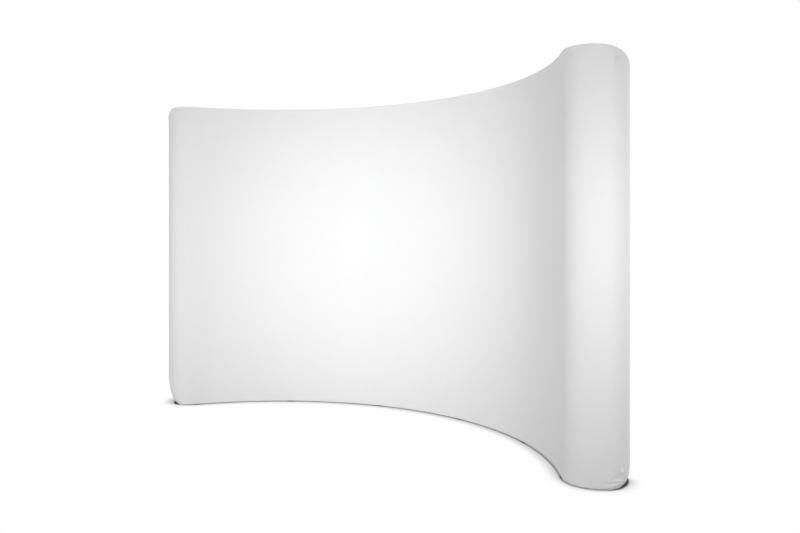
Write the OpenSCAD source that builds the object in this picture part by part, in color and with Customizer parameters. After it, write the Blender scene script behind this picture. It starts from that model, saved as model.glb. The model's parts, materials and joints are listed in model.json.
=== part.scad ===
// Curved pop-up display backwall: a white stretch cover on a folding aluminium frame.
//
// Pairs of uprights stand on two arcs, one behind the cover's face and one at the back.
// In each bay, crossed arms at every level run from a front upright to the next rear one.
// The crossing is nearer the front, so the open frame is curved and the closed one is straight.
//
// X runs to the viewer's right, Y away from the viewer and Z up. The origin is on the floor,
// under the middle of the whole wall. Columns and bays are counted from the left, from 1.

/* [Wall] */
// Plan radius of the cover's front face
face_radius = 1770; // [1600:10:2400]
// Angle between neighbouring uprights, seen from the middle of the arc
bay_angle = 23; // [16:0.1:24]
// Number of bays
bays = 5; // [4:1:6]
// Height of the cover's top edge above the floor
wall_height = 2260; // [2000:10:2400]
// Thickness of the wall at its rounded ends, over the cover
wall_depth = 350; // [320:5:380]

/* [Cover] */
// Gap between the floor and the cover's lower edge
cover_gap = 4; // [3:1:30]
// Thickness of the knitted cloth
cloth_t = 2; // [1:0.5:2]
// Radius of the cover's corners at the back of each rounded end
corner_r = 170; // [60:5:175]
// Width of the hem that turns in behind the last rear upright
hem_w = 40; // [30:1:60]

/* [Frame] */
// Distance between the front and the rear upright of a pair
frame_depth = 215; // [190:5:240]
// Number of arm levels
levels = 4; // [3:1:5]
// Height of the lowest hubs
low_hub_z = 60; // [55:1:90]
// Drop from the cover's top edge to the highest hubs
high_hub_drop = 60; // [55:1:90]
// Outer diameter of an arm
arm_d = 13; // [12:0.5:13]
// Width of an upright bar
bar_w = 30; // [24:1:32]
// Depth of an upright bar
bar_d = 12; // [10:1:14]

/* [Hidden] */
$fn = 64;
slack = 0.1;            // between two parts that sit in each other
run_gap = 0.08;         // radial clearance of a pivot
body_gap = 0.4;         // between two parts that move apart

columns = bays + 1;
root_column = floor(columns / 2);
half_bay = bay_angle / 2;
end_angle = bays * half_bay;

wall_t = 1.6;           // wall of an upright bar
face_gap = 4.8;         // from the cover's face to the bar behind it

hub_w = 40;
hub_d = 30;
hub_h = 46;
hub_corner = 5;
spigot_l = 25;
bar_y = -(hub_d - bar_d) / 2;      // the bar is flush with the hub's outer face
front_r = face_radius + face_gap + hub_d / 2;
rear_r = front_r + frame_depth;
mid_r = face_radius + wall_depth / 2;

pin_r = 2.5;
pin_x = 30;             // from the upright's axis to an arm's pivot
arm_z = 7.5;            // arms pass this far above and below the hub's middle
tongue_t = 6;
tongue_r = 6;
fork_gap = tongue_t + 0.6;
fork_t = 3;
fork_r = 7;
fork_h = fork_gap + 2 * fork_t;
short_tongue_x = pin_r + 1;        // where the tongue of an open pivot stops
collar_x = 14;
collar_l = 4;
plug_l = 20;
arm_wall = 1.2;
rivet_head_r = 5;
rivet_head_t = 2;

// The arms in the frame of one bay, whose own Y axis runs from the arc's centre to its middle.
front_pin = [front_r * sin(half_bay) - pin_x * cos(half_bay),
             front_r * cos(half_bay) + pin_x * sin(half_bay)];
rear_pin = [rear_r * sin(half_bay) - pin_x * cos(half_bay),
            rear_r * cos(half_bay) + pin_x * sin(half_bay)];
arm_angle = atan2(rear_pin.y - front_pin.y, front_pin.x + rear_pin.x);
arm_length = norm([front_pin.x + rear_pin.x, rear_pin.y - front_pin.y]);
crossing = arm_length * front_pin.x / (front_pin.x + rear_pin.x);

lock_levels = [for (l = [1:levels - 2]) l];
lock_r = 7;
magnet_t = 3;

socket_r = 4;
socket_depth = 18;
socket_boss_r = 11;
socket_boss_h = 22;
stud_r = 4.9;
stud_l = 16;
foot_r = 17;
foot_t = 8;
ankle_r = 11;

cap_x = 15;             // where a rounded end starts, from the last upright's axis
bow_t = 2;
bow_h = 20;
bow_r = wall_depth / 2 - cloth_t - 0.5;
bow_sweep = 168;
bow_foot = 27;
bow_rise = 37;          // from a middle hub to the bow beside it
bow_inset = 175;        // from a top or bottom hub to its bow

// The wall's extent in Y sets where the arc's centre goes, so that the origin is in the middle.
back_angle = columns % 2 == 0 ? half_bay : 0;
back_extent = (rear_r + hub_d / 2 - hub_corner) * cos(back_angle)
    + (hub_w / 2 - hub_corner) * sin(back_angle) + hub_corner;
front_extent = mid_r * cos(end_angle) - cap_x * sin(end_angle) - wall_depth / 2;
centre_y = -(back_extent + front_extent) / 2;

function column_angle(c) = (2 * c - columns - 1) * half_bay;
function bay_middle(b) = (2 * b - bays - 1) * half_bay;
function hub_z(l) = low_hub_z + l * (wall_height - high_hub_drop - low_hub_z) / (levels - 1);
function bow_z(l) = l == 0 ? hub_z(l) + bow_inset
    : l == levels - 1 ? hub_z(l) - bow_inset
    : hub_z(l) + bow_rise * (l < levels / 2 ? 1 : -1);
function names(word, count) = [for (i = [1:count]) str(word, "_", i)];

NODES = concat(
    names("front_bars", columns), names("front_hubs", columns), names("front_foot", columns),
    names("rear_bars", columns), names("rear_hubs", columns), names("rear_foot", columns),
    names("upper_arms", bays), names("lower_arms", bays), names("rivets", bays),
    names("cover_panel", columns), ["left_end_bows", "right_end_bows"]);
node = "all";

function wanted(name) = node == "all" || node == name;

// ---- placing ----

module on_arc(angle, radius) {
    translate([0, centre_y, 0]) rotate([0, 0, -angle]) translate([0, radius, 0]) children();
}

module on_front_column(c) {
    on_arc(column_angle(c), front_r) children();
}

// A rear hub is the front one turned half round.
module on_rear_column(c) {
    on_arc(column_angle(c), rear_r) rotate([0, 0, 180]) children();
}

module at_levels() {
    for (l = [0:levels - 1]) translate([0, 0, hub_z(l)]) children();
}

// ---- shared shapes ----

module rounded_rect(w, d, r) {
    square([w - 2 * r, d], center = true);
    square([w, d - 2 * r], center = true);
    for (x = [-1, 1], y = [-1, 1]) translate([x * (w / 2 - r), y * (d / 2 - r)]) circle(r);
}

module block(w, d, h, r) {
    translate([0, 0, -h / 2]) linear_extrude(h) rounded_rect(w, d, r);
}

module rod_x(r, x0, x1) {
    translate([x0, 0, 0]) rotate([0, 90, 0]) cylinder(r = r, h = x1 - x0);
}

module rod_y(r, y0, y1) {
    translate([0, y0, 0]) rotate([-90, 0, 0]) cylinder(r = r, h = y1 - y0);
}

// ---- uprights ----

module hollow_bar(h) {
    linear_extrude(h) difference() {
        rounded_rect(bar_w, bar_d, 2);
        rounded_rect(bar_w - 2 * wall_t, bar_d - 2 * wall_t, 1);
    }
}

module bars() {
    color("silver") for (l = [0:levels - 2])
        translate([0, bar_y, hub_z(l) + hub_h / 2 + slack])
            hollow_bar(hub_z(l + 1) - hub_z(l) - hub_h - 2 * slack);
}

module fork(side) {
    for (z = [-1, 1])
        translate([0, 0, side * arm_z + z * (fork_gap + fork_t) / 2 - fork_t / 2]) {
            translate([side > 0 ? hub_w / 2 - 1 : -pin_x, -fork_r, 0])
                cube([pin_x - hub_w / 2 + 1, 2 * fork_r, fork_t]);
            translate([side * pin_x, 0, 0]) cylinder(r = fork_r, h = fork_t);
        }
}

module spigot(top) {
    clearance = 2 * wall_t + 0.8;
    h = spigot_l + 1;
    translate([0, bar_y, (top ? 1 : -1) * (hub_h / 2 - 1 + h / 2)])
        block(bar_w - clearance, bar_d - clearance, h, 1);
}

module hub(level, sides, socket) {
    bottom = level == 0;
    top = level == levels - 1;
    difference() {
        union() {
            block(hub_w, hub_d, hub_h, hub_corner);
            for (side = sides) fork(side);
            if (!top) spigot(true);
            if (!bottom) spigot(false);
            if (top) translate([0, 0, hub_h / 2 - 1]) cylinder(r = socket_boss_r, h = socket_boss_h + 1);
        }
        for (side = sides)
            translate([side * pin_x, 0, side * arm_z - fork_h / 2 - 1])
                cylinder(r = pin_r + run_gap, h = fork_h + 2);
        if (top && socket)
            translate([0, 0, hub_h / 2 + socket_boss_h - socket_depth])
                cylinder(r = socket_r, h = socket_depth + 1);
        if (bottom)
            translate([0, 0, -hub_h / 2 - 1]) cylinder(r = stud_r + slack, h = stud_l + 2);
    }
}

// Half of a magnetic lock: it meets the other half midway between the uprights.
module lock_arm() {
    reach = frame_depth / 2 - body_gap / 2;
    rod_y(lock_r, hub_d / 2 + slack, reach - magnet_t - slack);
    rod_y(lock_r - 1, reach - magnet_t, reach);
}

module loose_pin(side) {
    translate([side * pin_x, 0, side * arm_z - fork_h / 2]) cylinder(r = pin_r, h = fork_h);
}

module hubs(sides, open_sides, socket) {
    color("dimgray") {
        for (l = [0:levels - 1]) translate([0, 0, hub_z(l)]) hub(l, sides, socket);
        for (l = lock_levels) translate([0, 0, hub_z(l)]) lock_arm();
        for (side = open_sides) at_levels() loose_pin(side);
    }
}

module foot() {
    top_z = low_hub_z - hub_h / 2 - slack;
    color("black") rotate_extrude() polygon([
        [0, 0], [foot_r - 1, 0], [foot_r, 1], [foot_r, foot_t], [ankle_r, foot_t + 6],
        [ankle_r, top_z], [stud_r, top_z], [stud_r, top_z + stud_l], [0, top_z + stud_l]]);
}

// ---- arms ----

// An arm's end, with its pivot at the origin and the arm running along X.
module arm_plug(open_end) {
    tip = open_end ? short_tongue_x : 0;
    translate([tip, -tongue_r, -tongue_t / 2]) cube([collar_x - tip + 1, 2 * tongue_r, tongue_t]);
    if (!open_end) {
        cylinder(r = tongue_r, h = tongue_t, center = true);
        cylinder(r = pin_r, h = fork_h, center = true);
    }
    rod_x(arm_d / 2, collar_x, collar_x + collar_l);
    rod_x(arm_d / 2 - arm_wall - slack, collar_x + collar_l - 1, collar_x + collar_l + plug_l);
}

module arm(rivet_hole_r, open_rear) {
    tube_start = collar_x + collar_l + slack;
    color("silver") difference() {
        rod_x(arm_d / 2, tube_start, arm_length - tube_start);
        rod_x(arm_d / 2 - arm_wall, tube_start - 1, arm_length - tube_start + 1);
        translate([crossing, 0, 0]) cylinder(r = rivet_hole_r, h = 2 * arm_d, center = true);
    }
    color("dimgray") {
        arm_plug(false);
        translate([arm_length, 0, 0]) rotate([0, 0, 180]) arm_plug(open_rear);
    }
}

// From the front upright at a bay's left to the rear one at its right.
module upper_arms(b) {
    on_arc(bay_middle(b), 0) at_levels()
        translate([-front_pin.x, front_pin.y, arm_z]) rotate([0, 0, arm_angle])
            arm(pin_r + run_gap / 2, b < root_column);
}

// From the front upright at a bay's right to the rear one at its left.
module lower_arms(b) {
    on_arc(bay_middle(b), 0) at_levels()
        translate([front_pin.x, front_pin.y, -arm_z]) rotate([0, 0, 180 - arm_angle])
            arm(pin_r + run_gap, b > root_column);
}

module rivet() {
    outside = arm_z + arm_d / 2 + slack / 2;
    spacer = 2 * arm_z - arm_d - 2 * slack;
    cylinder(r = pin_r, h = 2 * outside + 1, center = true);
    cylinder(r = rivet_head_r, h = spacer, center = true);
    for (z = [outside, -outside - rivet_head_t])
        translate([0, 0, z]) cylinder(r = rivet_head_r, h = rivet_head_t);
}

module rivets(b) {
    color("gray") on_arc(bay_middle(b), front_pin.y + crossing * sin(arm_angle)) at_levels() rivet();
}

// ---- cover ----

// The cloth across the face, between two angles of the arc.
module face_cloth(from, to) {
    translate([0, centre_y, cover_gap]) rotate([0, 0, 90 - to])
        rotate_extrude(angle = to - from, $fn = 180)
            translate([face_radius, 0]) square([cloth_t, wall_height - cover_gap]);
}

// What is left of a rounded end when its two rear corners are cut round, seen from the side.
module rounded_corners() {
    deep = wall_depth / 2 - corner_r;
    span = wall_depth / 2 + cap_x + 2;
    translate([-hem_w, -wall_depth / 2 - 1, cover_gap])
        cube([span + hem_w, wall_depth / 2 + deep + 1, wall_height - cover_gap]);
    translate([-hem_w, 0, cover_gap + corner_r])
        cube([span + hem_w, wall_depth / 2 + 1, wall_height - cover_gap - 2 * corner_r]);
    for (z = [cover_gap + corner_r, wall_height - corner_r])
        translate([0, deep, z]) rod_x(corner_r, -hem_w, span);
}

// A rounded end in the frame of the last column, with Y = 0 midway through the wall.
module end_cloth() {
    intersection() {
        translate([0, 0, cover_gap]) linear_extrude(wall_height - cover_gap) {
            translate([cap_x, 0]) difference() {
                circle(wall_depth / 2, $fn = 128);
                circle(wall_depth / 2 - cloth_t, $fn = 128);
                translate([-wall_depth, -wall_depth]) square([wall_depth, 2 * wall_depth]);
            }
            translate([slack, -wall_depth / 2]) square([cap_x - slack, cloth_t]);
            translate([cap_x - hem_w, wall_depth / 2 - cloth_t]) square([hem_w, cloth_t]);
        }
        rounded_corners();
    }
}

module cover_panel(c) {
    trim = body_gap / 2 / face_radius * 180 / PI;
    middle = column_angle(c);
    last = c == columns;
    color("white") {
        face_cloth(middle - (c == 1 ? 0 : half_bay - trim), middle + (last ? 0 : half_bay - trim));
        if (c == 1) on_arc(middle, mid_r) mirror([1, 0, 0]) end_cloth();
        if (last) on_arc(middle, mid_r) end_cloth();
    }
}

// ---- the springs that hold the ends round ----

module end_bow() {
    translate([cap_x, 0, -bow_h / 2]) rotate([0, 0, -90])
        rotate_extrude(angle = bow_sweep, $fn = 128) translate([bow_r - bow_t, 0]) square([bow_t, bow_h]);
    translate([cap_x - bow_foot, -bow_r, -bow_h / 2]) cube([bow_foot, bow_t, bow_h]);
}

module end_bows() {
    color("gainsboro") for (l = [0:levels - 1]) translate([0, 0, bow_z(l)]) end_bow();
}

// ---- the parts ----

for (c = [1:columns]) {
    arm_sides = [if (c > 1) -1, if (c < columns) 1];
    // Seen from behind, the sides of a rear hub swap over.
    rear_sides = [if (c > 1) 1, if (c < columns) -1];
    rear_open = [if (c > 1 && c <= root_column) 1, if (c < columns && c > root_column) -1];
    if (wanted(str("front_bars_", c))) on_front_column(c) bars();
    if (wanted(str("front_hubs_", c))) on_front_column(c) hubs(arm_sides, [], true);
    if (wanted(str("front_foot_", c))) on_front_column(c) foot();
    if (wanted(str("rear_bars_", c))) on_rear_column(c) bars();
    if (wanted(str("rear_hubs_", c))) on_rear_column(c) hubs(rear_sides, rear_open, false);
    if (wanted(str("rear_foot_", c))) on_rear_column(c) foot();
    if (wanted(str("cover_panel_", c))) cover_panel(c);
}

for (b = [1:bays]) {
    if (wanted(str("upper_arms_", b))) upper_arms(b);
    if (wanted(str("lower_arms_", b))) lower_arms(b);
    if (wanted(str("rivets_", b))) rivets(b);
}

if (wanted("left_end_bows")) on_arc(-end_angle, mid_r) mirror([1, 0, 0]) end_bows();
if (wanted("right_end_bows")) on_arc(end_angle, mid_r) end_bows();
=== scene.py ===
"""Curved pop-up display backwall: the cloth, the finish of the frame, and a plain white studio.

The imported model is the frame. Every sheet of cloth is built on the same arc as the CAD panels, and
hangs on a front upright.
"""

import json
import math

import bmesh
import bpy
import numpy as np
from mathutils import Matrix, Vector


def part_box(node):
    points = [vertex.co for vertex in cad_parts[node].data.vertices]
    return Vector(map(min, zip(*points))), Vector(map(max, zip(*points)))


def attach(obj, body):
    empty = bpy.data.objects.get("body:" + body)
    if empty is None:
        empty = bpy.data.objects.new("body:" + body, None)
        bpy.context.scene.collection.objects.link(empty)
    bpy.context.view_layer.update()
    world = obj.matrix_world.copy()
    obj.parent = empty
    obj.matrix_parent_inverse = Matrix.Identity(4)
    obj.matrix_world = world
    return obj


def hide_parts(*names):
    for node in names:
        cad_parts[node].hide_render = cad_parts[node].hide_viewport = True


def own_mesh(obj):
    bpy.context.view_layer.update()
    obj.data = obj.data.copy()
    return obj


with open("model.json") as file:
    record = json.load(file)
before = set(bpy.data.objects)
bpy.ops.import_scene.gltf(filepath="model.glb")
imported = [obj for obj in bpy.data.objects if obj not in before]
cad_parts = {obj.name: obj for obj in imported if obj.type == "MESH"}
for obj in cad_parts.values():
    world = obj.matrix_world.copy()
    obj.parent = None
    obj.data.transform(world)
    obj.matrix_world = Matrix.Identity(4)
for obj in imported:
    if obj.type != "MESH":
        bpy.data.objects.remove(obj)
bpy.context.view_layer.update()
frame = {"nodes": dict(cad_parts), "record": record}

bl_info = {
    "name": "Pop-up display backwall",
    "version": (1, 0, 0),
    "blender": (4, 5, 0),
    "location": "View3D > Sidebar > Backwall",
    "description": "Builds the cover and the details of a curved pop-up display backwall",
    "category": "Add Mesh",
}

# ---- the wall's sizes, in metres and radians ----

MOUNTS = {m["name"]: Vector(m["pos_m"]) for m in frame["record"]["mounts"]}
COLUMNS = sum(name.startswith("front_foot_face_") for name in MOUNTS)
HALF_BAY = math.radians(11.5)
END_ANGLE = (COLUMNS - 1) * HALF_BAY

# The feet of the two middle columns stand on one arc, which gives its radius and its centre.
MIDDLE_FOOT = MOUNTS[f"front_foot_face_{COLUMNS // 2 + 1}"]
FRONT_R = MIDDLE_FOOT.x / math.sin(HALF_BAY)
ARC_Y = MIDDLE_FOOT.y - FRONT_R * math.cos(HALF_BAY)
REAR_R = MOUNTS[f"rear_foot_face_{COLUMNS // 2 + 1}"].x / math.sin(HALF_BAY)

BAR_FACE_R = FRONT_R - 0.015       # the front of the front uprights
FACE_R = BAR_FACE_R - 0.0048       # the front of the cloth
END_R = 0.175                      # radius of a rounded end
END_START = 0.015                  # from the last upright's axis to where its end turns
REAR_HEM_L = 0.04                  # the cloth that turns in behind
TOP_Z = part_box("cover_panel_3")[1][2]
HEM_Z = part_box("cover_panel_3")[0][2]

LEVELS = 4                         # of hubs and arms
HUB_HALF = 0.023                   # half a hub's height
LOW_HUB_Z, HIGH_HUB_Z = 0.060, TOP_Z - 0.060
HUB_Z = [LOW_HUB_Z + (HIGH_HUB_Z - LOW_HUB_Z) * level / (LEVELS - 1) for level in range(LEVELS)]
# The bows' heights, each measured from the nearest hub's.
BOW_Z = (HUB_Z[0] + 0.175, HUB_Z[1] + 0.037, HUB_Z[2] - 0.037, HUB_Z[3] - 0.175)
TUBE_OVER = 0.2                    # an arm's tube is longer than this, and its plugs are shorter
CROSSINGS = {joint["name"]: Vector(joint["pos_m"])
             for joint in frame["record"]["behaviour"]["joints"] if "crossing" in joint["name"]}


def srgb(value):
    """A hex colour such as "c8ccd0" as linear red, green, blue and alpha."""
    parts = [int(value[i:i + 2], 16) / 255 for i in (0, 2, 4)]
    linear = [p / 12.92 if p <= 0.04045 else ((p + 0.055) / 1.055) ** 2.4 for p in parts]
    return (*linear, 1.0)


def column_angle(c):
    return (2 * c - COLUMNS - 1) * HALF_BAY


def on_arc(angle, radius, z=0.0):
    return Vector((radius * math.sin(angle), ARC_Y + radius * math.cos(angle), z))


def outward(angle):
    """The level direction away from the arc's centre."""
    return Vector((math.sin(angle), math.cos(angle), 0))


def smooth(x, start, end):
    """0 before start, 1 after end, and an even curve between."""
    x = min(1.0, max(0.0, (x - start) / (end - start)))
    return x * x * (3 - 2 * x)


# ---- settings a user would change ----


def length(name, description, default, low, high):
    """A setting in metres."""
    return bpy.props.FloatProperty(name=name, description=description, default=default, min=low,
                                   max=high, precision=4, unit="LENGTH")


def colour_of(name, description, default):
    """A setting that is a colour."""
    return bpy.props.FloatVectorProperty(name=name, description=description,
                                         default=srgb(default), size=4, min=0, max=1,
                                         subtype="COLOR")


class CoverSettings(bpy.types.PropertyGroup):
    """Sizes and colour of the cloth cover."""

    cloth_t: length("Cloth thickness", "Thickness of the knitted cloth", 0.0012, 0.0005, 0.002)
    cloth_colour: colour_of("Cloth", "Colour of the cloth", "f4f4f4")
    hem_w: length("Hem width", "Width of the hem that is sewn at the top and the bottom",
                  0.025, 0.023, 0.04)
    stitch_pitch: length("Stitch pitch", "Distance from one stitch of a hem to the next",
                         0.005, 0.003, 0.01)
    thread_d: length("Thread diameter", "Diameter of the sewing thread, drawn coarse to show",
                     0.0007, 0.0003, 0.0015)
    gather_depth: length("Gather depth", "Depth of the gathers where an end's hem is drawn in",
                         0.0026, 0, 0.006)
    crease_h: length("Crease height", "Height of the creases on an end's corners",
                     0.0065, 0, 0.01)


class FrameSettings(bpy.types.PropertyGroup):
    """Colours of the folding frame."""

    aluminium_colour: colour_of("Aluminium", "Colour of the anodised bars and arms", "c9ccce")
    nylon_colour: colour_of("Nylon", "Colour of the hubs and the arms' ends", "2b2c2e")


class StageSettings(bpy.types.PropertyGroup):
    """The studio: camera and light."""

    azimuth: bpy.props.FloatProperty(
        name="Camera azimuth", description="How far round the camera looks from",
        default=math.radians(36.47), subtype="ANGLE")
    lens: bpy.props.FloatProperty(
        name="Lens", description="Focal length on a 36 mm sensor",
        default=34.77, min=20, max=120)
    key_power: bpy.props.FloatProperty(
        name="Key light", description="Power of the soft light to the right of the camera",
        default=13.9, min=0, subtype="POWER")
    world_level: bpy.props.FloatProperty(
        name="Room light", description="Brightness of the white room",
        default=0.51, min=0, max=2)


def cover():
    return bpy.context.scene.backwall_cover


def frame_look():
    return bpy.context.scene.backwall_frame


# ---- materials ----

WAVE_SCALE = math.tau / 20         # a wave texture's scale for bands 1 m apart


def node(tree, kind, inputs=None, **settings):
    """Adds a node. inputs maps a socket's name or number to a value or to the socket it takes."""
    made = tree.nodes.new(kind)
    for name, value in settings.items():
        setattr(made, name, value)
    for socket, value in (inputs or {}).items():
        if isinstance(value, bpy.types.NodeSocket):
            tree.links.new(value, made.inputs[socket])
        else:
            made.inputs[socket].default_value = value
    return made


def texture_place(tree):
    """The shaded point in the piece's own metres."""
    return node(tree, "ShaderNodeTexCoord").outputs["Object"]


def noise(tree, where, scale, detail, distortion=0.0):
    """Noise with patches some 1 / scale across."""
    return node(tree, "ShaderNodeTexNoise", {
        "Vector": where, "Scale": scale, "Detail": detail,
        "Distortion": distortion}).outputs["Fac"]


def ranged(tree, value, low, high, start=0.0, end=1.0):
    """A value from start to end as one from low to high."""
    return node(tree, "ShaderNodeMapRange", {
        "Value": value, "From Min": start, "From Max": end, "To Min": low,
        "To Max": high}).outputs["Result"]


def mixed(tree, factor, first, second, blend="MIX"):
    """A mix of two colours. Each of the three is a value or a socket."""
    return node(tree, "ShaderNodeMix", {"Factor": factor, 6: first, 7: second},
                data_type="RGBA", blend_type=blend).outputs[2]


def material(name, **settings):
    """A new material with a Principled shader. Returns it with its tree and the shader."""
    made = bpy.data.materials.new(name)
    made.use_nodes = True
    shader = made.node_tree.nodes["Principled BSDF"]
    for socket, value in settings.items():
        shader.inputs[socket.replace("_", " ")].default_value = value
    return made, made.node_tree, shader


def wire(tree, shader, colour, rough=None, bump=None, invert=False):
    """Links a colour, a roughness and a bump to a shader.

    The bump is its height, its strength and its depth in metres.
    """
    sources = {"Base Color": colour}
    if rough is not None:
        sources["Roughness"] = rough
    if bump is not None:
        relief = node(tree, "ShaderNodeBump",
                      dict(zip(("Height", "Strength", "Distance"), bump)), invert=invert)
        sources["Normal"] = relief.outputs["Normal"]
    for socket, source in sources.items():
        tree.links.new(source, shader.inputs[socket])


def knitted_polyester():
    """White stretch polyester, warp knitted and brushed: matt, with a soft sheen at a low angle."""
    made, tree, shader = material(
        "white_knitted_polyester", Roughness=0.82, Sheen_Weight=0.12, Sheen_Roughness=0.4,
        Specular_IOR_Level=0.25)
    # The UV map is in metres. Real wales are 0.5 mm apart; at 3 mm they just show.
    uv = node(tree, "ShaderNodeUVMap", uv_map="cloth").outputs["UV"]
    wales = WAVE_SCALE / 0.002961
    loops = node(tree, "ShaderNodeTexWave", {"Vector": uv, "Scale": wales, "Distortion": 1.2,
                                             "Detail": 1.0, "Detail Scale": 2.0},
                 bands_direction="X")
    courses = node(tree, "ShaderNodeTexWave", {"Vector": uv, "Scale": wales * 0.8},
                   bands_direction="Y")
    knit = node(tree, "ShaderNodeMath", {0: loops.outputs["Fac"], 1: courses.outputs["Fac"]},
                operation="MULTIPLY")
    # Yarn is never quite even: soft patches 40 mm across, up to 1.5 % darker.
    shade = ranged(tree, noise(tree, uv, 25.0, 3.0), 0.985, 1.0)
    wire(tree, shader, mixed(tree, 1.0, cover().cloth_colour[:], shade, "MULTIPLY"),
         bump=(knit.outputs["Value"], 0.25, 0.0002))
    return made


def sewing_thread():
    """Polyester sewing thread, two plies, a touch brighter and glossier than the cloth."""
    made, tree, shader = material(
        "polyester_thread", Roughness=0.55, Specular_IOR_Level=0.4, Sheen_Weight=0.1)
    # Both plies are the same white: the diagonal bands are painted lighter crowns, with painted
    # shade in the grooves of the twist.
    plies = node(tree, "ShaderNodeTexWave", {"Vector": texture_place(tree),
                                             "Scale": WAVE_SCALE / 0.001579},
                 bands_direction="DIAGONAL")
    wire(tree, shader, mixed(tree, plies.outputs["Fac"], srgb("e6e6e4"), srgb("fafaf8")))
    return made


def anodised_aluminium(name, upright):
    """Satin anodised aluminium, drawn or extruded: faint die lines run along the piece."""
    made, tree, shader = material(name, Metallic=1.0)
    where = texture_place(tree)
    # Lines 0.4 mm apart: half a metre long up a bar, and short along an arm, because arms lie
    # level in many directions.
    across = 1 / 0.0004
    stretch = (across, across, 2.0) if upright else (across * 0.2, across * 0.2, across)
    drawn = node(tree, "ShaderNodeMapping", {"Vector": where, "Scale": stretch})
    lines = noise(tree, drawn.outputs["Vector"], 1.0, 2.0)
    # Handling leaves duller patches some 60 mm across.
    rough = ranged(tree, noise(tree, where, 16.0, 4.0), 0.27, 0.40, start=0.3, end=0.7)
    colour = mixed(tree, 1.0, frame_look().aluminium_colour[:], ranged(tree, lines, 0.93, 1.0),
                   "MULTIPLY")
    wire(tree, shader, colour, rough, bump=(lines, 0.12, 0.00005))
    return made


def moulded(name, colour, grain, roughness, mottle=0.12):
    """Injection moulded plastic or rubber: a fine spark-eroded grain, and a slight mottle."""
    made, tree, shader = material(name, Specular_IOR_Level=0.5)
    where = texture_place(tree)
    pits = node(tree, "ShaderNodeTexVoronoi", {"Vector": where, "Scale": 1 / grain},
                feature="SMOOTH_F1")
    patches = noise(tree, where, 30.0, 3.0)
    tone = ranged(tree, patches, 1 - mottle, 1 + mottle / 2)
    wire(tree, shader, mixed(tree, 1.0, colour, tone, "MULTIPLY"),
         ranged(tree, patches, roughness - 0.06, roughness + 0.06),
         bump=(pits.outputs["Distance"], 0.3, grain * 0.2))
    return made


def bright_metal(name, colour, roughness, scratch):
    """Turned or plated metal: short scratches about as wide as scratch, in metres."""
    made, tree, shader = material(name, Metallic=1.0)
    marks = noise(tree, texture_place(tree), 1 / scratch, 5.0, distortion=1.5)
    duller = tuple(v * 0.86 for v in colour[:3]) + (1,)
    wire(tree, shader, mixed(tree, marks, colour, duller),
         ranged(tree, marks, roughness * 0.7, roughness * 1.4))
    return made


def hook_tape_nylon():
    """Woven nylon tape with a pile of small hooks 1.5 mm apart."""
    made, tree, shader = material("hook_tape_nylon", Roughness=0.9, Sheen_Weight=0.3)
    hooks = node(tree, "ShaderNodeTexVoronoi", {"Vector": texture_place(tree),
                                                "Scale": 1 / 0.0015, "Randomness": 0.4})
    off = hooks.outputs["Distance"]
    # The hooks and the tape are one dark nylon: each hook is painted lighter, as a highlight, and
    # the gaps between the hooks are painted darker, as shade.
    wire(tree, shader, mixed(tree, off, srgb("4a4a4b"), srgb("1c1c1d")),
         bump=(off, 0.8, 0.0006), invert=True)
    return made


def loop_tape_nylon():
    """Brushed nylon loop tape: a matt, hazy white pile about 1 mm across."""
    made, tree, shader = material("loop_tape_nylon", Roughness=0.95, Sheen_Weight=0.4)
    pile = noise(tree, texture_place(tree), 1 / 0.001, 3.0)
    # The tone follows the same noise as the bump: the low pile is painted darker, as shade in its
    # hollows, and the high pile lighter.
    wire(tree, shader, mixed(tree, pile, srgb("d8d8d6"), srgb("f2f2f0")),
         bump=(pile, 0.6, 0.0004))
    return made


MAKERS = {
    "cloth": knitted_polyester,
    "thread": sewing_thread,
    "bar": lambda: anodised_aluminium("extruded_anodised_aluminium", True),
    "tube": lambda: anodised_aluminium("drawn_anodised_aluminium", False),
    "nylon": lambda: moulded("glass_filled_nylon", frame_look().nylon_colour[:], 0.0006, 0.48),
    "rubber": lambda: moulded("moulded_rubber", srgb("1b1b1c"), 0.0009, 0.78),
    "strip": lambda: moulded("acetal_spring_strip", srgb("e4e3df"), 0.0012, 0.42, 0.04),
    "rivet": lambda: bright_metal("turned_aluminium", srgb("b9bbbd"), 0.30, 0.0008),
    "nickel": lambda: bright_metal("nickel_plate", srgb("d3d0c8"), 0.16, 0.0012),
    "steel": lambda: bright_metal("zinc_plated_steel", srgb("c2c4c4"), 0.28, 0.0010),
    "hooks": hook_tape_nylon,
    "loops": loop_tape_nylon,
}
FINISH_NAMES = {}                  # the name of each material that is made


def finish_of(key):
    """The material of that key, made the first time it is asked for."""
    found = bpy.data.materials.get(FINISH_NAMES.get(key, ""))
    if found is None:
        found = MAKERS[key]()
        FINISH_NAMES[key] = found.name
    return found


# ---- building ----


def linked(name, data):
    """A new object in the scene."""
    made = bpy.data.objects.new(name, data)
    bpy.context.scene.collection.objects.link(made)
    return made


def harvest(obj):
    """The plain mesh that an object's modifiers make. The object is removed."""
    depsgraph = bpy.context.evaluated_depsgraph_get()
    made = bpy.data.meshes.new_from_object(obj.evaluated_get(depsgraph))
    bpy.data.objects.remove(obj)
    return made


def piece(name, mesh, key, body):
    """A finished mesh as a piece that rides on a body."""
    made = linked(name, mesh)
    mesh.materials.clear()
    mesh.materials.append(finish_of(key))
    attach(made, body)
    return made


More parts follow.
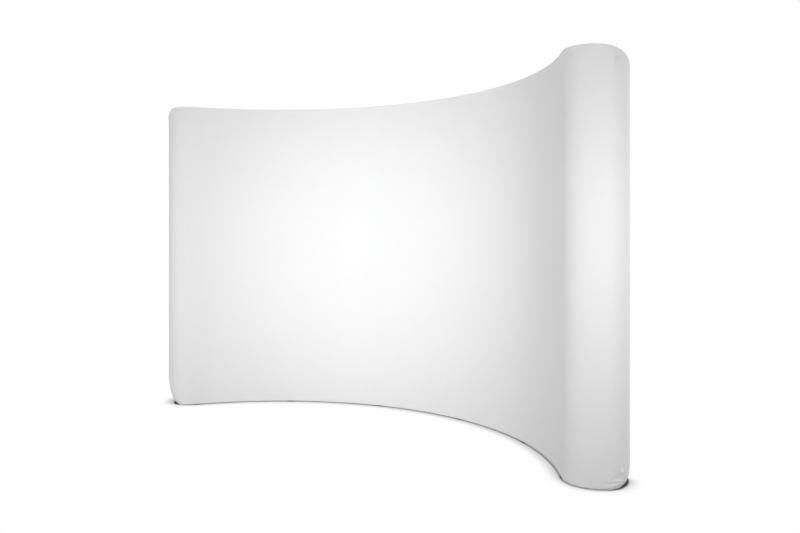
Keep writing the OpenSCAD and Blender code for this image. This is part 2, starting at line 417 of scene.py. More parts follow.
def grid_mesh(name, points, uvs):
    """A sheet from rows of points. Its faces look to the left of the columns' way along."""
    rows, cols = len(points), len(points[0])
    verts = [p for row in points for p in row]
    faces = [(r * cols + c, r * cols + c + 1, (r + 1) * cols + c + 1, (r + 1) * cols + c)
             for r in range(rows - 1) for c in range(cols - 1)]
    mesh = bpy.data.meshes.new(name)
    mesh.from_pydata(verts, [], faces)
    layer = mesh.uv_layers.new(name="cloth")
    flat = [uv for row in uvs for uv in row]
    for loop in mesh.loops:
        layer.data[loop.index].uv = flat[loop.vertex_index]
    mesh.polygons.foreach_set("use_smooth", [True] * len(mesh.polygons))
    return mesh


def thicken(mesh, thickness):
    """The sheet as a thin closed wall behind its faces, with a sharp cut edge all round."""
    sheet = linked("sheet", mesh)
    wall = sheet.modifiers.new("thickness", "SOLIDIFY")
    wall.thickness = thickness
    wall.offset = -1
    wall.use_even_offset = False
    made = harvest(sheet)
    made.set_sharp_from_angle(angle=math.radians(50))
    return made


def shaded(mesh, angle=35):
    """Shades a mesh smooth, with sharp edges where it turns by more than angle degrees."""
    mesh.polygons.foreach_set("use_smooth", [True] * len(mesh.polygons))
    mesh.set_sharp_from_angle(angle=math.radians(angle))
    return mesh


def mesh_of(solid, name):
    """A finished bmesh as a mesh."""
    bmesh.ops.recalc_face_normals(solid, faces=solid.faces)
    mesh = bpy.data.meshes.new(name)
    solid.to_mesh(mesh)
    solid.free()
    return shaded(mesh)


def lathe(name, rings, segments=24, hexed=(), ring=False):
    """Spins rings of (radius, height), in millimetres, about Z. A radius of 0 is a pole.

    The rings numbered in hexed have six sides. With ring, the last one joins the first.
    """
    solid = bmesh.new()
    loops = []
    for number, (radius, height) in enumerate(rings):
        loop = []
        for i in range(1 if radius == 0 else segments):
            angle = math.tau * i / segments
            r = radius / 1000
            if number in hexed:
                r *= math.cos(math.pi / 6) / math.cos(angle % (math.pi / 3) - math.pi / 6)
            loop.append(solid.verts.new((r * math.cos(angle), r * math.sin(angle), height / 1000)))
        loops.append(loop)
    if ring:
        loops.append(loops[0])
    for lower, upper in zip(loops, loops[1:]):
        for i in range(segments):
            j = (i + 1) % segments
            corners = (lower[i % len(lower)], lower[j % len(lower)],
                       upper[j % len(upper)], upper[i % len(upper)])
            solid.faces.new(dict.fromkeys(corners))
    return mesh_of(solid, name)


SOFT_EDGE = 0.0004                 # of a block


def block(solid, size, matrix):
    """Adds a block with softened edges to a bmesh."""
    made = bmesh.ops.create_cube(solid, size=1.0, matrix=matrix @ Matrix.Diagonal((*size, 1)))
    edges = {e for v in made["verts"] for e in v.link_edges}
    bmesh.ops.bevel(solid, geom=list(edges), offset=SOFT_EDGE, segments=2, affect="EDGES",
                    profile=0.5)


def at_column(c, radius, z):
    """The frame of column c: X to the right along the wall, and Y away from the arc's centre."""
    angle = column_angle(c)
    return Matrix.Translation(on_arc(angle, radius, z)) @ Matrix.Rotation(-angle, 4, "Z")


def node_tree(name, inputs):
    """A Geometry Nodes tree with named inputs. Returns it with its inputs' sockets."""
    tree = bpy.data.node_groups.new(name, "GeometryNodeTree")
    for socket, kind in inputs.items():
        tree.interface.new_socket(socket, in_out="INPUT", socket_type=f"NodeSocket{kind}")
    tree.interface.new_socket("Geometry", in_out="OUTPUT", socket_type="NodeSocketGeometry")
    return tree, node(tree, "NodeGroupInput").outputs


def place_copies(tree, points, shape, facing, finish, scale=(1, 1, 1)):
    """Geometry Nodes: ends a tree with real copies of a shape, Z along their facing."""
    turned = node(tree, "FunctionNodeAlignRotationToVector", {"Vector": facing}, axis="Z")
    placed = node(tree, "GeometryNodeInstanceOnPoints", {
        "Points": points, "Instance": shape, "Rotation": turned.outputs["Rotation"],
        "Scale": scale})
    solid = node(tree, "GeometryNodeRealizeInstances", {"Geometry": placed.outputs["Instances"]})
    finished = node(tree, "GeometryNodeSetMaterial", {
        "Geometry": solid.outputs["Geometry"], "Material": finish})
    node(tree, "NodeGroupOutput", {"Geometry": finished.outputs["Geometry"]})
    return tree


def set_out():
    """Geometry Nodes: a copy of a shape at each point of a mesh."""
    tree, given = node_tree("set_out", {
        "Points": "Geometry", "Shape": "Object", "Finish": "Material"})
    shape = node(tree, "GeometryNodeObjectInfo", {"Object": given["Shape"]})
    facing = node(tree, "GeometryNodeInputNamedAttribute", {"Name": "facing"},
                  data_type="FLOAT_VECTOR")
    return place_copies(tree, given["Points"], shape.outputs["Geometry"],
                        facing.outputs["Attribute"], given["Finish"])


def stitch_row():
    """Geometry Nodes: stitches along every line of a mesh, each a spindle of thread."""
    tree, given = node_tree("stitch_row", {
        "Lines": "Geometry", "Pitch": "Float", "Stitch length": "Float",
        "Thread diameter": "Float", "Finish": "Material"})
    line = node(tree, "GeometryNodeMeshToCurve", {"Mesh": given["Lines"]})
    even = node(tree, "GeometryNodeResampleCurve", {"Curve": line.outputs["Curve"],
                                                    "Length": given["Pitch"]}, mode="LENGTH")
    along = node(tree, "GeometryNodeInputTangent").outputs["Tangent"]
    bead = node(tree, "GeometryNodeMeshUVSphere", {"Segments": 6, "Rings": 4, "Radius": 0.5})
    thick = given["Thread diameter"]
    size = node(tree, "ShaderNodeCombineXYZ", {"X": thick, "Y": thick,
                                               "Z": given["Stitch length"]})
    return place_copies(tree, even.outputs["Curve"], bead.outputs["Mesh"], along,
                        given["Finish"], size.outputs["Vector"])


def grown(maker, base, inputs):
    """The plain mesh that a Geometry Nodes tree makes of a base mesh."""
    tree = bpy.data.node_groups.get(maker.__name__) or maker()
    holder = linked("holder", base)
    modifier = holder.modifiers.new("nodes", "NODES")
    modifier.node_group = tree
    for item in tree.interface.items_tree:
        if item.name in inputs:
            modifier[item.identifier] = inputs[item.name]
    made = harvest(holder)
    if not made.polygons:
        raise RuntimeError(f"{tree.name} made nothing")
    return made


def copies(name, shape, places, key):
    """Copies of a shape at places, each a point and the direction that its Z axis faces."""
    base = bpy.data.meshes.new(name)
    base.from_pydata([point for point, facing in places], [], [])
    facing = base.attributes.new("facing", "FLOAT_VECTOR", "POINT")
    facing.data.foreach_set("vector", [v for point, way in places for v in way])
    holder = linked("shape", shape)
    made = grown(set_out, base, {"Shape": holder, "Finish": finish_of(key)})
    bpy.data.objects.remove(holder)
    return shaded(made)


def sewn(name, lines):
    """Rows of stitches along lines of points."""
    base = bpy.data.meshes.new(name)
    starts = np.cumsum([0] + [len(line) for line in lines])
    edges = [(start + i, start + i + 1) for start, line in zip(starts, lines)
             for i in range(len(line) - 1)]
    base.from_pydata([point for line in lines for point in line], edges, [])
    pitch = cover().stitch_pitch
    made = grown(stitch_row, base, {
        "Pitch": pitch, "Stitch length": pitch * STITCH_SHARE,
        "Thread diameter": cover().thread_d, "Finish": finish_of("thread")})
    return shaded(made, 180)


def cad_solids(name, wanted):
    """A copy of a CAD node's solids: its long tubes or, if not wanted, the rest."""
    solid = bmesh.new()
    solid.from_mesh(frame["nodes"][name].data)
    bmesh.ops.remove_doubles(solid, verts=solid.verts, dist=1e-6)
    left, doomed = set(solid.verts), []
    while left:
        island, edge = set(), [left.pop()]
        while edge:
            vert = edge.pop()
            island.add(vert)
            fresh = {e.other_vert(vert) for e in vert.link_edges} & left
            left -= fresh
            edge.extend(fresh)
        low = Vector([min(v.co[k] for v in island) for k in range(3)])
        high = Vector([max(v.co[k] for v in island) for k in range(3)])
        if ((high - low).length > TUBE_OVER) != wanted:
            doomed.extend(island)
    bmesh.ops.delete(solid, geom=doomed, context="VERTS")
    mesh = bpy.data.meshes.new(name)
    solid.to_mesh(mesh)
    solid.free()
    return shaded(mesh)


def gather_on_fold(obj):
    """Gives the piece a mesh of its own."""
    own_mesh(obj)


# ---- the cloth's shape ----
#
# An upright line of the sheet is a row of (inward, z) points up its outer face.

HEM_TURNS, HEM_LAYERS = 5, 9       # points round a hem's fold, and up the layer behind it
HEM_ROOM = 0.0001                  # half the gap between a hem's two layers
SEW_AT = 0.021                     # from the edge to the line of stitches
SEWN_DIP, SEWN_W = 0.0004, 0.0022  # how far the stitches pull the cloth in, and how widely
STITCH_SHARE = 0.72                # of a stitch's pitch that its thread shows
FACE_COLUMNS = 96                  # of the sheet's grid, to a bay


def fold_radius():
    """Outer radius of the fold at a hem's edge, with hardly any room between the two layers."""
    return cover().cloth_t + HEM_ROOM


def run_up(line):
    """How far along the cloth each point of an upright line is from the first."""
    return np.concatenate([[0], np.cumsum(np.linalg.norm(np.diff(line, axis=0), axis=1))])


def upside_down(line):
    return line[::-1] * (1, -1)


def inside_of(line):
    """The unit vectors that point from each point of an upright line to the cloth's inside."""
    way = np.gradient(line, axis=0)
    way /= np.linalg.norm(way, axis=1)[:, None]
    return np.stack([way[:, 1], -way[:, 0]], axis=1)


def hem_behind(line):
    """The hem at the start of an upright line, from its free edge to the fold.

    Each point comes with how far along the cloth it is from the start of the line.
    """
    inside, run, fold = inside_of(line), run_up(line), fold_radius()
    layer = []
    for back in np.linspace(cover().hem_w, 0, HEM_LAYERS):
        point = [np.interp(back, run, line[:, k]) for k in (0, 1)]
        normal = [np.interp(back, run, inside[:, k]) for k in (0, 1)]
        layer.append((np.add(point, np.multiply(2 * fold, normal)), -back - math.pi * fold))
    normal = inside[0]
    ahead = np.array([-normal[1], normal[0]])
    for turn in np.linspace(math.pi, 0, HEM_TURNS + 1)[1:-1]:
        point = line[0] + fold * (normal * (1 - math.cos(turn)) - ahead * math.sin(turn))
        layer.append((point, -turn * fold))
    return layer


def hemmed(line):
    """An upright line with a hem at both ends: its points, and their heights on the flat cloth."""
    run = run_up(line)
    top = hem_behind(upside_down(line))
    made = hem_behind(line) + list(zip(line, run))
    return made + [(point * (1, -1), run[-1] - flat) for point, flat in reversed(top)]


def proud():
    """How far the middle of the thread stands off the cloth."""
    return cover().thread_d * 0.2


def sewn_point(line):
    """Where the thread of the hem at the start of an upright line crosses it."""
    run, inside = run_up(line), inside_of(line)
    return np.array([np.interp(SEW_AT, run, line[:, k] - proud() * inside[:, k]) for k in (0, 1)])


def sewn_points(line):
    """Where the threads of the lower and the upper hem cross an upright line."""
    return sewn_point(line), sewn_point(upside_down(line)) * (1, -1)


def sewn_dip(line):
    """How far the stitches of the two hems pull the cloth in, at each point of a line."""
    run = run_up(line)
    off = np.minimum(abs(run - SEW_AT), abs(run[-1] - SEW_AT - run))
    return SEWN_DIP * np.exp(-(off / SEWN_W) ** 2)


def face_line():
    """The upright line of the face: straight, and pulled in a little by the hems' stitches."""
    low, high = HEM_Z + fold_radius(), TOP_Z - fold_radius()
    # Points 2 mm apart over the hems, and 53 mm apart between them.
    near = np.linspace(0, 0.032, 17)
    middle = np.linspace(low + near[-1], high - near[-1], 42)[1:-1]
    heights = np.concatenate([low + near, middle, high - near[::-1]])
    line = np.stack([np.zeros_like(heights), heights], axis=1)
    line[:, 0] = sewn_dip(line)
    return line


def face_mesh(name, start, end):
    """The cloth across the face, between two angles of the arc."""
    angles = np.linspace(start, end, round(FACE_COLUMNS * (end - start) / (2 * HALF_BAY)) + 1)
    rows = hemmed(face_line())
    points = [[on_arc(a, FACE_R + inward, z) for a in angles] for (inward, z), flat in rows]
    uvs = [[(a * FACE_R, flat) for a in angles] for point, flat in rows]
    return grid_mesh(name, points, uvs)


LOW_ROWS, MID_ROWS, TOP_ROWS = 46, 34, 44
BACK_AT = END_START + math.pi * END_R    # along the cloth, to where it stops bending
CORNER_POWER = 2.3                 # 2 would be an ellipse
SEAM_TURN = math.radians(142)
SEAM_DIP = 0.0012                  # how far its stitches pull the cloth in
ALLOWANCE = 0.006                  # the cloth behind the seam, to either side
SEAM_STITCH = 0.005                # from the seam to its row of stitches
EDGE_STITCH = 0.008                # from the free edge behind to its row of stitches
CREASE_W = (0.011, 0.005)          # its gentle side, to the edge, and its steep one, to the light
FIRST_GATHER = 0.12                # along the cloth
GATHER_STEP = (0.010, 0.024)       # from one to the next, each at random between the two
GATHER_W = (0.003, 0.0065)
GATHER_SHARE = (0.35, 1.0)         # of the full depth and of the full length
FULL_GATHER = 0.02                 # a hem drawn in by this much has its gathers at full depth


class Crease:
    """A taut crease on an end's corner.

    It runs from one turn of the end, in degrees, and distance from the hem's edge to another,
    and sags away from the edge between them.
    """

    def __init__(self, start, finish, sag=0.0, strength=1.0):
        self.start, self.finish, self.sag, self.strength = start, finish, sag, strength

    def height(self, turn, drops):
        """The crease's height at one turn of the end and at each distance from the edge."""
        (t0, d0), (t1, d1) = self.start, self.finish
        share = (turn - t0) / (t1 - t0)
        if not -0.1 < share < 1.1:
            return 0.0
        off = drops - (d0 + (d1 - d0) * share + 4 * self.sag * share * (1 - share))
        width = np.where(off < 0, *CREASE_W)
        fade = smooth(share, -0.1, 0.25) * (1 - smooth(share, 0.7, 1.1))
        return self.strength * fade * np.exp(-(off / width) ** 2)


class Corner:
    """How a hem is drawn in round an end: from which turn to which, in degrees, how deep and
    over what height, and the creases this leaves."""

    def __init__(self, turns, depth, height, creases=()):
        self.turns, self.depth, self.height, self.creases = turns, depth, height, creases

    def drawn(self, turn):
        """The depth and height at a turn of the end, in degrees."""
        share = smooth(turn, *self.turns)
        start, full = self.height
        return self.depth * share, start + (full - start) * share

    def crease(self, turn, drops):
        return sum((c.height(turn, drops) for c in self.creases), np.zeros_like(drops))


class RoundedEnd:
    """The cloth round one end of the wall. side is 1 at the right and -1 at the left.

    A point is named by how far along the cloth it is from the last upright, and by its height.
    Turned from the front, the end's angle runs from 0 to half a turn at the back.
    """

    def __init__(self, side, low, top, seed):
        self.side = side
        self.low, self.top = low, top
        self.gathers = self.make_gathers(seed)
        self.along = self.make_along()
        self.out = Vector((math.sin(END_ANGLE), math.cos(END_ANGLE), 0))
        self.side_on = Vector((math.cos(END_ANGLE), -math.sin(END_ANGLE), 0))
        self.centre = on_arc(END_ANGLE, FACE_R + END_R) + self.side_on * END_START

    def make_along(self):
        """Distances along the cloth, 2.8 mm apart from where it bends."""
        bend = np.linspace(END_START, BACK_AT, 197)
        hem = np.linspace(BACK_AT, BACK_AT + REAR_HEM_L, 15)[1:]
        return np.concatenate([[0, END_START / 2], bend, hem])

    def make_gathers(self, seed):
        """Gathers along a hem: where each is, in metres, how wide, how deep and how long."""
        random = np.random.default_rng(seed)
        at, found = FIRST_GATHER, []
        while at < BACK_AT + REAR_HEM_L:
            found.append((at, random.uniform(*GATHER_W), random.uniform(*GATHER_SHARE),
                          random.uniform(*GATHER_SHARE)))
            at += random.uniform(*GATHER_STEP)
        return found

    def turn(self, along):
        return min(math.pi, max(0.0, (along - END_START) / END_R))

    def gather(self, along, share):
        """Depth of the gathers at share of the way from where the cloth draws in to its edge."""
        depth = 0.0
        for at, width, strength, reach in self.gathers:
            if abs(along - at) < 4 * width:
                fade = smooth(share, 1 - reach, 1)
                depth += strength * fade * math.exp(-((along - at) / width) ** 2)
        return cover().gather_depth * depth

    def seam(self, along):
        """The seam that joins the end's rear strip: the cloth dips at the stitches, and the
        allowance behind lifts it to either side."""
        off = abs(self.turn(along) - SEAM_TURN) * END_R
        dip = SEAM_DIP * math.exp(-(off / SEWN_W) ** 2)
        return dip - SEAM_DIP / 2 * math.exp(-((off - ALLOWANCE) / (ALLOWANCE / 2)) ** 2)

    def line(self, along):
        """The upright line of the sheet at a distance along it."""
        turn = math.degrees(self.turn(along))
        fold = fold_radius()
        # Behind, the hem is no longer drawn in as tightly.
        slack = 1 - 0.4 * smooth(along, BACK_AT - 0.02, self.along[-1])
        points, ripple = [], []
        low_in, low_h = self.low.drawn(turn)
        top_in, top_h = self.top.drawn(turn)
        low_z, top_z = HEM_Z + fold, TOP_Z - fold
        for share in np.linspace(1, 0, LOW_ROWS, endpoint=False):
            points.append(corner_point(share, slack * low_in, low_h, low_z, 1))
            ripple.append(min(1, low_in / FULL_GATHER) * self.gather(along, share))
        for z in np.linspace(low_z + low_h, top_z - top_h, MID_ROWS, endpoint=False):
            points.append((0.0, z))
            ripple.append(0.0)
        # The gathers of the upper hem are shallower.
        for share in np.linspace(0, 1, TOP_ROWS):
            points.append(corner_point(share, slack * top_in, top_h, top_z, -1))
            ripple.append(0.7 * min(1, top_in / FULL_GATHER) * self.gather(along, share))
        line = np.array(points)
        inward = np.array(ripple) + self.seam(along) + sewn_dip(line)
        inward -= cover().crease_h * self.low.crease(turn, line[:, 1] - HEM_Z)
        inward -= cover().crease_h * self.top.crease(turn, TOP_Z - line[:, 1])
        return line + inside_of(line) * inward[:, None]

    def place(self, along, inward, z):
        """Where a point of an upright line is in the wall."""
        turn = self.turn(along)
        if along < END_START:
            base = self.centre + self.side_on * (along - END_START) - self.out * END_R
            way = self.out
        elif turn < math.pi:
            way = self.out * math.cos(turn) - self.side_on * math.sin(turn)
            base = self.centre - way * END_R
        else:
            past = along - BACK_AT
            base = self.centre - self.side_on * past + self.out * END_R
            way = -self.out
        p = base + way * inward
        return Vector((self.side * p.x, p.y, z))

    def mesh(self, name):
        """The sheet. The left end's runs the other way, so that it still faces outwards."""
        along = self.along[::self.side]
        rows = list(zip(*(hemmed(self.line(a)) for a in along)))
        points = [[self.place(a, *point) for a, (point, flat) in zip(along, row)]
                  for row in rows]
        uvs = [[(a, flat) for a, (point, flat) in zip(along, row)] for row in rows]
        return grid_mesh(name, points, uvs)

    def sewn_lines(self):
        """Where the stitches run: round both hems, beside the seam and down the free edge."""
        pairs = [(a, sewn_points(self.line(a))) for a in self.along]
        found = [[self.place(a, *points[k]) for a, points in pairs] for k in (0, 1)]
        for at in (END_START + SEAM_TURN * END_R + SEAM_STITCH, self.along[-1] - EDGE_STITCH):
            line = self.line(at)
            line = line - inside_of(line) * proud()
            found.append([self.place(at, *point) for point in line])
        return found


def corner_point(share, depth, height, edge_z, up):
    """A point of a corner's curve, a superellipse. share is 0 where it leaves the upright and
    1 at the edge, and up is 1 at the bottom and -1 at the top."""
    angle = math.pi / 2 * share
    inward = depth * (1 - math.cos(angle) ** (2 / CORNER_POWER))
    return inward, edge_z + up * height * (1 - math.sin(angle) ** (2 / CORNER_POWER))


LEFT_TOP = Corner((50, 130), 0.100, (0.030, 0.090), (
    Crease((31, 0.021), (47, 0.018), strength=0.5),
    Crease((64, 0.046), (120, 0.070), strength=0.8)))
LEFT_LOW = Corner((25, 100), 0.095, (0.040, 0.231))
RIGHT_TOP = Corner((60, 165), 0.100, (0.030, 0.100), (
    Crease((70, 0.040), (130, 0.066), sag=0.008),
    Crease((70, 0.066), (112, 0.092), strength=0.8),
    Crease((100, 0.036), (122, 0.034), strength=0.6),
    Crease((31, 0.021), (47, 0.018), strength=0.5)))
RIGHT_LOW = Corner((95, 160), 0.028, (0.040, 0.130), (
    Crease((97, 0.013), (132, 0.023), strength=0.7),
    Crease((94, 0.042), (132, 0.036), strength=0.8),
    Crease((93, 0.058), (138, 0.087), strength=0.9)))


def rounded_ends():
    return {"left": RoundedEnd(-1, LEFT_LOW, LEFT_TOP, seed=4),
            "right": RoundedEnd(1, RIGHT_LOW, RIGHT_TOP, seed=9)}


class BACKWALL_OT_cover_faces(bpy.types.Operator):
    """Stretch the cloth across the face, a sheet to each front upright"""

    bl_idname = "backwall.cover_faces"
    bl_label = "Cover faces"

    def execute(self, context):
        for c in range(1, COLUMNS + 1):
            middle = column_angle(c)
            start = middle - (0 if c == 1 else HALF_BAY)
            end = middle + (0 if c == COLUMNS else HALF_BAY)
            mesh = thicken(face_mesh(f"cover_face_{c}", start, end), cover().cloth_t)
            made = piece(f"cover_face_{c}", mesh, "cloth", f"front_upright_{c}")
            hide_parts(f"cover_panel_{c}")
            gather_on_fold(made)
            self.sew(c, start, end)
        return {"FINISHED"}

    def sew(self, c, start, end):
        """Stitches along both hems of a face."""
        angles = np.linspace(start, end, FACE_COLUMNS // 2 + 1)
        rows = [[on_arc(a, FACE_R + inward, z) for a in angles]
                for inward, z in sewn_points(face_line())]
        made = piece(f"face_stitches_{c}", sewn("stitches", rows), "thread",
                     f"front_upright_{c}")
        gather_on_fold(made)


class BACKWALL_OT_cover_ends(bpy.types.Operator):
    """Wrap the cloth round both ends, drawn in at the top and bottom hems"""

    bl_idname = "backwall.cover_ends"
    bl_label = "Cover ends"

    def execute(self, context):
        for word, end in rounded_ends().items():
            c = COLUMNS if end.side > 0 else 1
            mesh = thicken(end.mesh(f"cover_end_{word}"), cover().cloth_t)
            made = piece(f"cover_end_{word}", mesh, "cloth", f"front_upright_{c}")
            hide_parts(f"cover_panel_{c}")
            piece(f"end_stitches_{word}", sewn("stitches", end.sewn_lines()), "thread",
                  f"front_upright_{c}")
        return {"FINISHED"}


TAPE_W, TAPE_T = 0.020, 0.0018
TAPE_END = 0.008                   # bare metal between a tape and the next hub
PAD_W = 0.026                      # the square pad on a hub
BOW_ROOM = 0.014                   # from a bow's middle to the tape above or below it


class BACKWALL_OT_tapes(bpy.types.Operator):
    """Stick hook tape on the front uprights, and sew loop tape on the cloth in front of it"""

    bl_idname = "backwall.tapes"
    bl_label = "Hook and loop tape"

    def spans(self, c):
        """The stretches of a front upright, as heights, between its hubs and its bows."""
        found = []
        for low, high in zip(HUB_Z, HUB_Z[1:]):
            start = low + HUB_HALF + TAPE_END
            for bow in BOW_Z:
                if c in (1, COLUMNS) and low < bow < high:
                    if bow - BOW_ROOM > start:
                        found.append((start, bow - BOW_ROOM))
                    start = bow + BOW_ROOM
            if high - HUB_HALF - TAPE_END > start:
                found.append((start, high - HUB_HALF - TAPE_END))
        return found

    def execute(self, context):
        for word, key, slot, radius in (
                ("hook", "hooks", "hub_nylon", BAR_FACE_R - TAPE_T / 2),
                ("loop", "loops", "cover_cloth", BAR_FACE_R - TAPE_T * 1.5)):
            for c in range(1, COLUMNS + 1):
                solid = bmesh.new()
                for low, high in self.spans(c):
                    block(solid, (TAPE_W, TAPE_T, high - low),
                          at_column(c, radius, (low + high) / 2))
                for z in HUB_Z:
                    block(solid, (PAD_W, TAPE_T, PAD_W), at_column(c, radius, z))
                piece(f"{word}_tape_{c}", mesh_of(solid, f"{word}_tape"), key,
                      f"front_upright_{c}")
        return {"FINISHED"}


BAR_D, HUB_D = 0.012, 0.030
SCREW_OFF = 0.035                  # from a hub's middle to the screw in the bar
LOCK_REACH = 0.10435               # from an upright's axis to its magnet's cup
SOCKET_BOSS_H = 0.022

# Rings of (radius, height) in millimetres.
SCREW_RINGS = ((0, -0.5), (2.75, -0.5), (2.75, 0.5), (2.6, 1.1), (2.1, 1.6), (1.7, 1.75),
               (1.25, 1.75), (1.25, 0.6), (0, 0.6))
RIVET_HALF = [(0, -16.4), (2.0, -16.3), (3.8, -15.8), (4.8, -14.9), (5.0, -14.1), (2.5, -14.05),
              (2.5, -0.9), (5.0, -0.9)]
MAGNET_RINGS = ((0, 0), (6.9, 0), (6.9, 2.6), (6.8, 2.85), (6.55, 2.98), (5.6, 3.02), (0, 3.02))
BUSH_RINGS = ((4.05, 0), (4.05, 1.2), (4.3, 1.5), (6.3, 1.5), (6.8, 1.3), (7.0, 0.9), (7.0, 0))


class BACKWALL_OT_fixings(bpy.types.Operator):
    """Fit the screws, rivets, lock magnets and lamp bushes"""

    bl_idname = "backwall.fixings"
    bl_label = "Fixings"

    def execute(self, context):
        self.screws()
        self.rivets()
        self.magnets()
        self.bushes()
        return {"FINISHED"}

    def fit(self, name, shape, places, key, body):
        return piece(name, copies(name, shape, places, key), key, body)

    def screws(self):
        """Two button-head screws hold each bar on the hubs' spigots."""
        head = lathe("button_head", SCREW_RINGS, hexed=(6, 7))
        heights = [z + off for z in HUB_Z for off in (-SCREW_OFF, SCREW_OFF)][1:-1]
        for word, radius in (("front", BAR_FACE_R + BAR_D), ("rear", REAR_R + HUB_D / 2)):
            for c in range(1, COLUMNS + 1):
                angle = column_angle(c)
                places = [(on_arc(angle, radius, z), outward(angle)) for z in heights]
                self.fit(f"{word}_screws_{c}", head, places, "steel", f"{word}_upright_{c}")

    def rivets(self):
        """A domed rivet with a spacer at each crossing of two arms."""
        rivet = lathe("domed_rivet", RIVET_HALF + [(r, -z) for r, z in reversed(RIVET_HALF)])
        for b in range(1, COLUMNS):
            x, y = CROSSINGS[f"crossing_{b}"].xy
            places = [(Vector((x, y, z)), Vector((0, 0, 1))) for z in HUB_Z]
            made = self.fit(f"domed_rivets_{b}", rivet, places, "rivet", f"upper_arm_set_{b}")
            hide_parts(f"rivets_{b}")

    def magnets(self):
        """A nickel-plated magnet in its cup at the end of each lock arm."""
        cup = lathe("magnet_cup", MAGNET_RINGS, segments=32)
        for word, radius, way in (("front", FRONT_R + LOCK_REACH, 1),
                                  ("rear", REAR_R - LOCK_REACH, -1)):
            for c in range(1, COLUMNS + 1):
                angle = column_angle(c)
                places = [(on_arc(angle, radius, z), outward(angle) * way) for z in HUB_Z[1:3]]
                self.fit(f"{word}_magnets_{c}", cup, places, "nickel", f"{word}_upright_{c}")

    def bushes(self):
        """A plated bush round the mouth of each lamp socket."""
        bush = lathe("lamp_bush", BUSH_RINGS, segments=32, ring=True)
        mouth = HUB_Z[-1] + HUB_HALF + SOCKET_BOSS_H
        for c in range(1, COLUMNS + 1):
            places = [(on_arc(column_angle(c), FRONT_R, mouth), Vector((0, 0, 1)))]
            self.fit(f"lamp_bush_{c}", bush, places, "nickel", f"front_upright_{c}")


class BACKWALL_OT_arms(bpy.types.Operator):
    """Part the arms into aluminium tubes and the nylon plugs in their ends"""

    bl_idname = "backwall.arms"
    bl_label = "Arms"

    def execute(self, context):
        for b in range(1, COLUMNS):
            for word in ("upper", "lower"):
                name = f"{word}_arms_{b}"
                for part, key, slot in (("tubes", "tube", "arm_aluminium"),
                                        ("plugs", "nylon", "hub_nylon")):
                    made = piece(f"{word}_arm_{part}_{b}", cad_solids(name, part == "tubes"), key,
                                 f"{word}_arm_set_{b}")
                    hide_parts(name)
        return {"FINISHED"}


class BACKWALL_OT_frame_finish(bpy.types.Operator):
    """Give every part of the frame the finish of its real material"""

    bl_idname = "backwall.frame_finish"
    bl_label = "Frame finish"

    def execute(self, context):
        keys = {"bars": "bar", "hubs": "nylon", "foot": "rubber", "arms": "tube",
                "rivets": "rivet", "bows": "strip"}
        for name, obj in frame["nodes"].items():
            for word, key in keys.items():
                if word in name:
                    obj.data.materials.clear()
                    obj.data.materials.append(finish_of(key))
        return {"FINISHED"}


# ---- the studio ----

# Read off the photograph's perspective: where the camera stands from the arc's centre.
CAMERA_PLACE = Vector((3.241, -2.855, 1.285))
CAMERA_SHIFT = -0.0388             # of the picture's width
FLOOR_HALF = 30.0                  # half the floor's width

# The floor's shadow, in two parts that multiply: a soft one beside the object, and the dark line
# under the cloth's edge. Each has the direction its light comes from, how far the object shades
# it, the light at which it is darkest and at which it is gone, and its darkest level.
SHADOWS = (
    ((-0.795, 0.855, 0.403), 0.163, 0.376, 0.787, 0.32),
    ((0.45, 0.75, 0.50), 0.025, 0.66, 0.88, 0.10),
)

# Each lamp: name, place, what it looks at, width and height, how wide its beam spreads in
# degrees, and its share of the key light. The face and centre lights stand close to the face, the
# cap light lights the near end, and the two at the back light the folding frame.
LAMPS = (
    ("key_softbox", (7.5, -7.0, 1.0), (-1.8, 0.4, 1.15), (2.5, 2.0), 40, 1.0),
    ("right_softbox", (6.0, -7.8, 1.0), (-1.8, 0.4, 1.15), (2.5, 2.0), 40, 0.52),
    ("left_softbox", (-4.6, -3.6, 1.15), (-1.4, -0.3, 1.15), (1.2, 2.4), 180, 2.2),
    ("face_light", (-0.9, -2.0, 1.2), (0.5, 0.4, 1.15), (0.7, 2.4), 180, 0.76),
    ("centre_light", (-0.4, -1.1, 1.2), (0.5, 0.4, 1.15), (0.6, 2.4), 180, 0.41),
    ("cap_light", (4.6, -3.9, 1.35), (1.8, -0.5, 1.35), (0.5, 0.5), 40, 0.24),
    ("back_right", (4.0, 6.5, 1.6), (0.4, 0.0, 1.15), (3.0, 2.0), 180, 13.5),
    ("back_left", (-4.0, 6.5, 1.6), (-0.4, 0.0, 1.15), (3.0, 2.0), 180, 13.5),
)


def seen(tree):
    """Light Path's factor that is 1 for what the eye sees, also in metal and through glass."""
    path = node(tree, "ShaderNodeLightPath").outputs
    eye = path["Is Camera Ray"]
    for kind in ("Is Glossy Ray", "Is Transmission Ray"):
        eye = node(tree, "ShaderNodeMath", {0: eye, 1: path[kind]}, operation="MAXIMUM").outputs[0]
    return eye


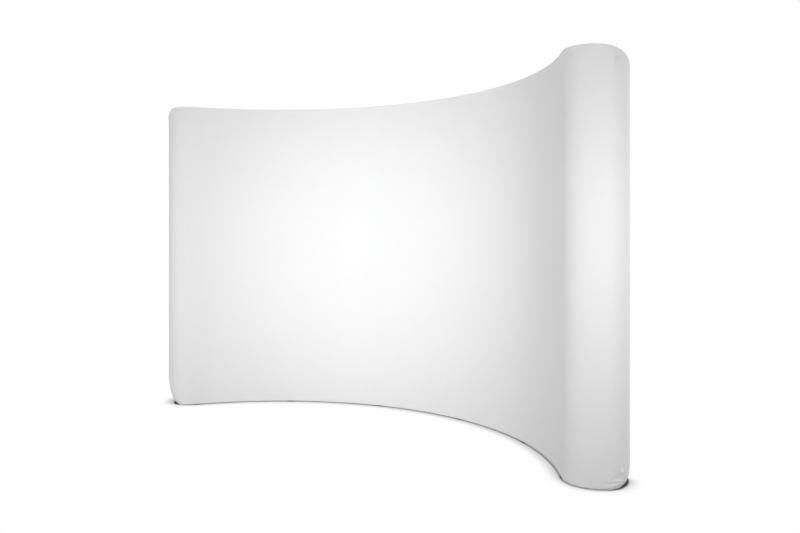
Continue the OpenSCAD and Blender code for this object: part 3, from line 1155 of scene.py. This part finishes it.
def stage_material():
    """The floor: white to the eye, with the object's own soft shadow left on it."""
    made = bpy.data.materials.new("white_studio_floor")
    made.use_nodes = True
    tree = made.node_tree
    tree.nodes.clear()
    level = 1.0
    for toward, reach, low, high, darkest in SHADOWS:
        light = node(tree, "ShaderNodeAmbientOcclusion", {
            "Distance": reach, "Normal": Vector(toward).normalized()}, samples=16)
        light = ranged(tree, light.outputs["AO"], darkest, 1.0, start=low, end=high)
        level = node(tree, "ShaderNodeMath", {0: level, 1: light},
                     operation="MULTIPLY").outputs[0]
    white = node(tree, "ShaderNodeEmission", {"Strength": level})
    # Other rays meet a mid grey, so that little light comes back from the floor.
    paint = node(tree, "ShaderNodeBsdfDiffuse", {"Color": srgb("8c8c8c")})
    both = node(tree, "ShaderNodeMixShader", {0: seen(tree), 1: paint.outputs[0],
                                              2: white.outputs[0]})
    node(tree, "ShaderNodeOutputMaterial", {"Surface": both.outputs[0]})
    return made


class BACKWALL_OT_stage(bpy.types.Operator):
    """Lay the floor, light the room and set the camera"""

    bl_idname = "backwall.stage"
    bl_label = "Studio"

    def execute(self, context):
        self.floor()
        self.room()
        self.lamps()
        self.camera()
        return {"FINISHED"}

    def floor(self):
        mesh = bpy.data.meshes.new("studio_floor")
        corners = [(x * FLOOR_HALF, y * FLOOR_HALF, 0)
                   for x, y in ((-1, -1), (1, -1), (1, 1), (-1, 1))]
        mesh.from_pydata(corners, [], [(0, 1, 2, 3)])
        mesh.materials.append(stage_material())
        linked("studio_floor", mesh)

    def room(self):
        world = bpy.data.worlds.new("white_room")
        bpy.context.scene.world = world
        world.use_nodes = True
        tree = world.node_tree
        tree.nodes.clear()
        level = bpy.context.scene.backwall_stage.world_level
        back = node(tree, "ShaderNodeBackground", {
            "Color": (1, 1, 1, 1), "Strength": ranged(tree, seen(tree), level, 1.0)})
        node(tree, "ShaderNodeOutputWorld", {"Surface": back.outputs[0]})

    def lamps(self):
        power = bpy.context.scene.backwall_stage.key_power
        for name, place, target, size, spread, share in LAMPS:
            data = bpy.data.lights.new(name, "AREA")
            data.shape = "RECTANGLE"
            data.size, data.size_y = size
            data.spread = math.radians(spread)
            data.energy = power * share
            made = linked(name, data)
            made.location = place
            way = Vector(target) - Vector(place)
            made.rotation_euler = way.to_track_quat("-Z", "Y").to_euler()
            made.visible_camera = False

    def camera(self):
        settings = bpy.context.scene.backwall_stage
        data = bpy.data.cameras.new("photo_camera")
        data.sensor_width = 36.0
        data.lens = settings.lens
        data.shift_y = CAMERA_SHIFT
        data.clip_end = 100.0
        made = linked("photo_camera", data)
        made.location = CAMERA_PLACE + Vector((0, ARC_Y, 0))
        made.rotation_euler = (math.radians(90), 0, settings.azimuth)
        bpy.context.scene.camera = made


class BACKWALL_PT_panel(bpy.types.Panel):
    """Lists the steps that build the backwall"""

    bl_idname = "BACKWALL_PT_panel"
    bl_label = "Display backwall"
    bl_space_type = "VIEW_3D"
    bl_region_type = "UI"
    bl_category = "Backwall"

    def draw(self, context):
        for group in (context.scene.backwall_cover, context.scene.backwall_frame,
                      context.scene.backwall_stage):
            box = self.layout.box()
            for name in group.__annotations__:
                box.prop(group, name)
        for step in STEPS:
            self.layout.operator(step.bl_idname)


STEPS = (
    BACKWALL_OT_cover_faces,
    BACKWALL_OT_cover_ends,
    BACKWALL_OT_tapes,
    BACKWALL_OT_fixings,
    BACKWALL_OT_arms,
    BACKWALL_OT_frame_finish,
    BACKWALL_OT_stage,
)
SETTINGS = {
    "backwall_cover": CoverSettings,
    "backwall_frame": FrameSettings,
    "backwall_stage": StageSettings,
}


def register():
    for made in (*SETTINGS.values(), *STEPS, BACKWALL_PT_panel):
        bpy.utils.register_class(made)
    for name, group in SETTINGS.items():
        setattr(bpy.types.Scene, name, bpy.props.PointerProperty(type=group))


def unregister():
    for name in SETTINGS:
        delattr(bpy.types.Scene, name)
    for made in (BACKWALL_PT_panel, *reversed(STEPS), *SETTINGS.values()):
        bpy.utils.unregister_class(made)


def main():
    register()
    bpy.context.scene.view_settings.view_transform = "Standard"
    for step in STEPS:
        group, name = step.bl_idname.split(".")
        getattr(getattr(bpy.ops, group), name)()


if __name__ == "__main__":
    main()
